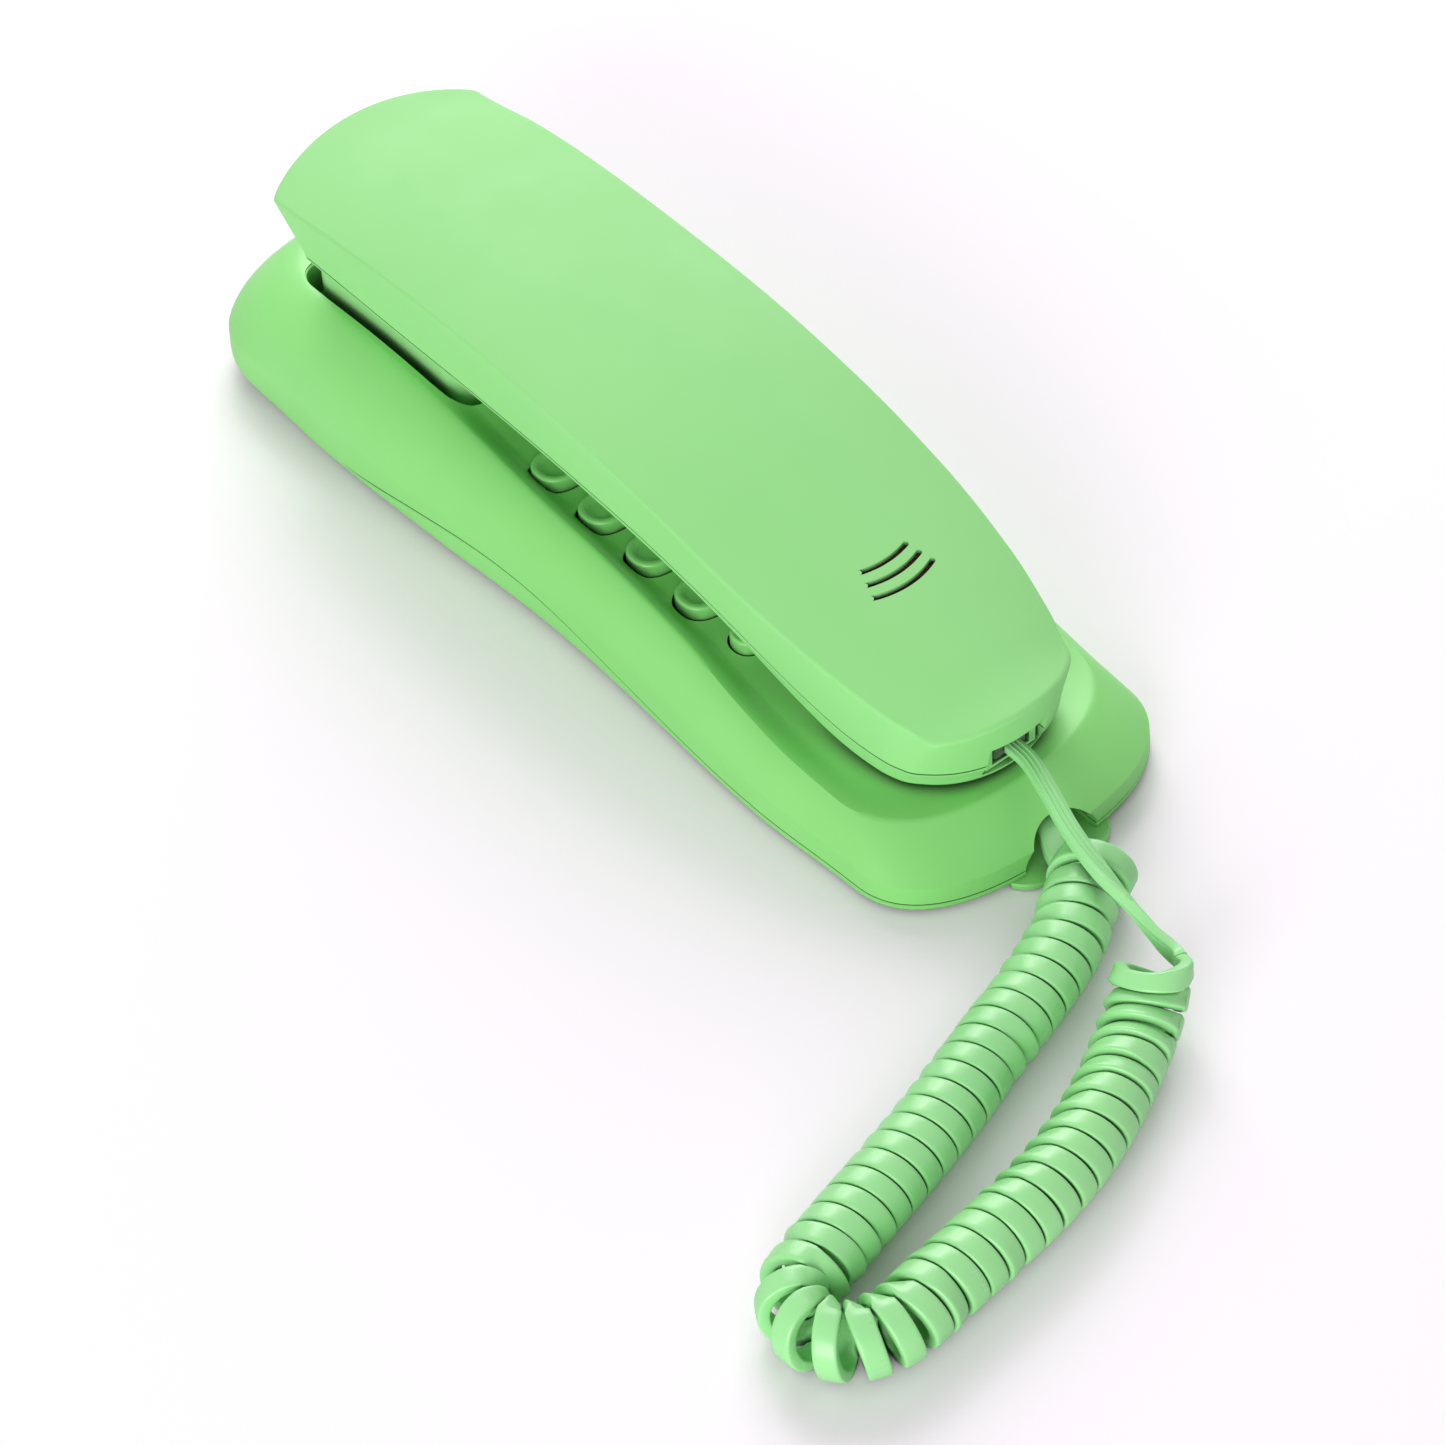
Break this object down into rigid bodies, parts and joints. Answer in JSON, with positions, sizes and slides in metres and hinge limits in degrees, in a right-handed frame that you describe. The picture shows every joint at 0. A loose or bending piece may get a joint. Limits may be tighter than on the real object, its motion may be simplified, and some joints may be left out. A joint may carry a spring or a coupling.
{
  "type": "wall telephone",
  "caption": "Slim wall telephone: waisted base with oval keys in a sunk tray, arched handset resting on it, and a coiled cord on the surface beside it.",
  "frame": {"origin": "middle of the base's flat back, which lies on the surface or wall", "axes": "+X to the right, +Y towards the earpiece end, +Z out of the back towards the keypad and handset"},
  "size_m": [0.1361, 0.2643, 0.0499],
  "materials": {
    "base_plastic": "moulded ABS, satin gloss",
    "handset_plastic": "moulded ABS, satin gloss",
    "key_plastic": "moulded ABS, satin",
    "cord_jacket": "soft vinyl",
    "clear_plastic": "clear polycarbonate",
    "rubber": "grey silicone rubber",
    "dark_plastic": "moulded, matt",
    "circuit_board": "glass-epoxy board",
    "acoustic_cloth": "fine woven cloth",
    "bare_metal": "drawn can",
    "zinc_steel": "zinc plated"
  },
  "bodies": {
    "base": {"base_top_shell": "base_plastic", "base_back_shell": "base_plastic", "circuit_board": "circuit_board", "keypad_mat": "rubber", "hook_switch": "dark_plastic", "sounder": "dark_plastic", "line_jack": "dark_plastic", "ringer_switch_body": "dark_plastic", "base_cord_jack": "dark_plastic", "base_plug": "clear_plastic", "base_screw_1": "zinc_steel", "base_screw_2": "zinc_steel", "base_screw_3": "zinc_steel", "base_screw_4": "zinc_steel", "cord_curls": "cord_jacket", "base_lead": "cord_jacket"},
    "handset": {"handset_outer_shell": "handset_plastic", "handset_inner_shell": "handset_plastic", "vent_cloth": "acoustic_cloth", "receiver_capsule": "dark_plastic", "microphone_boot": "rubber", "microphone_capsule": "bare_metal", "ballast_weight": "zinc_steel", "handset_jack": "handset_plastic", "handset_plug": "clear_plastic", "handset_screw_1": "zinc_steel", "handset_screw_2": "zinc_steel", "handset_lead": "cord_jacket"},
    "hook_plunger": {"hook_plunger": "base_plastic"},
    "ringer_switch": {"ringer_switch": "dark_plastic"},
    "key_1": {"key_1": "key_plastic"},
    "key_2": {"key_2": "key_plastic"},
    "key_3": {"key_3": "key_plastic"},
    "key_4": {"key_4": "key_plastic"},
    "key_5": {"key_5": "key_plastic"},
    "key_6": {"key_6": "key_plastic"},
    "key_7": {"key_7": "key_plastic"},
    "key_8": {"key_8": "key_plastic"},
    "key_9": {"key_9": "key_plastic"},
    "key_star": {"key_star": "key_plastic"},
    "key_0": {"key_0": "key_plastic"},
    "key_hash": {"key_hash": "key_plastic"},
    "function_key_left": {"function_key_left": "key_plastic"},
    "function_key_middle": {"function_key_middle": "key_plastic"},
    "function_key_right": {"function_key_right": "key_plastic"}
  },
  "joints": [
    {"name": "handset_lift", "type": "slide", "parent": "base", "child": "handset", "axis": [0, 0, 1], "range_m": [0, 0.08]},
    {"name": "hook_rise", "type": "slide", "parent": "base", "child": "hook_plunger", "axis": [0, 0, 1], "range_m": [0, 0.0025]},
    {"name": "ringer_slide", "type": "slide", "parent": "base", "child": "ringer_switch", "axis": [1, 0, 0], "range_m": [0, 0.0048]},
    {"name": "key_1_press", "type": "slide", "parent": "base", "child": "key_1", "axis": [0, 0, -1], "range_m": [0, 0.0012], "stiffness_N_per_m": 400, "springref_m": -0.0004},
    {"name": "key_2_press", "type": "slide", "parent": "base", "child": "key_2", "axis": [0, 0, -1], "range_m": [0, 0.0012], "stiffness_N_per_m": 400, "springref_m": -0.0004},
    {"name": "key_3_press", "type": "slide", "parent": "base", "child": "key_3", "axis": [0, 0, -1], "range_m": [0, 0.0012], "stiffness_N_per_m": 400, "springref_m": -0.0004},
    {"name": "key_4_press", "type": "slide", "parent": "base", "child": "key_4", "axis": [0, 0, -1], "range_m": [0, 0.0012], "stiffness_N_per_m": 400, "springref_m": -0.0004},
    {"name": "key_5_press", "type": "slide", "parent": "base", "child": "key_5", "axis": [0, 0, -1], "range_m": [0, 0.0012], "stiffness_N_per_m": 400, "springref_m": -0.0004},
    {"name": "key_6_press", "type": "slide", "parent": "base", "child": "key_6", "axis": [0, 0, -1], "range_m": [0, 0.0012], "stiffness_N_per_m": 400, "springref_m": -0.0004},
    {"name": "key_7_press", "type": "slide", "parent": "base", "child": "key_7", "axis": [0, 0, -1], "range_m": [0, 0.0012], "stiffness_N_per_m": 400, "springref_m": -0.0004},
    {"name": "key_8_press", "type": "slide", "parent": "base", "child": "key_8", "axis": [0, 0, -1], "range_m": [0, 0.0012], "stiffness_N_per_m": 400, "springref_m": -0.0004},
    {"name": "key_9_press", "type": "slide", "parent": "base", "child": "key_9", "axis": [0, 0, -1], "range_m": [0, 0.0012], "stiffness_N_per_m": 400, "springref_m": -0.0004},
    {"name": "key_star_press", "type": "slide", "parent": "base", "child": "key_star", "axis": [0, 0, -1], "range_m": [0, 0.0012], "stiffness_N_per_m": 400, "springref_m": -0.0004},
    {"name": "key_0_press", "type": "slide", "parent": "base", "child": "key_0", "axis": [0, 0, -1], "range_m": [0, 0.0012], "stiffness_N_per_m": 400, "springref_m": -0.0004},
    {"name": "key_hash_press", "type": "slide", "parent": "base", "child": "key_hash", "axis": [0, 0, -1], "range_m": [0, 0.0012], "stiffness_N_per_m": 400, "springref_m": -0.0004},
    {"name": "function_key_left_press", "type": "slide", "parent": "base", "child": "function_key_left", "axis": [0, 0, -1], "range_m": [0, 0.0012], "stiffness_N_per_m": 400, "springref_m": -0.0004},
    {"name": "function_key_middle_press", "type": "slide", "parent": "base", "child": "function_key_middle", "axis": [0, 0, -1], "range_m": [0, 0.0012], "stiffness_N_per_m": 400, "springref_m": -0.0004},
    {"name": "function_key_right_press", "type": "slide", "parent": "base", "child": "function_key_right", "axis": [0, 0, -1], "range_m": [0, 0.0012], "stiffness_N_per_m": 400, "springref_m": -0.0004}
  ],
  "couplings": [
    {"joint": "hook_rise", "follows": "handset_lift", "ratio": 0.03125}
  ]
}
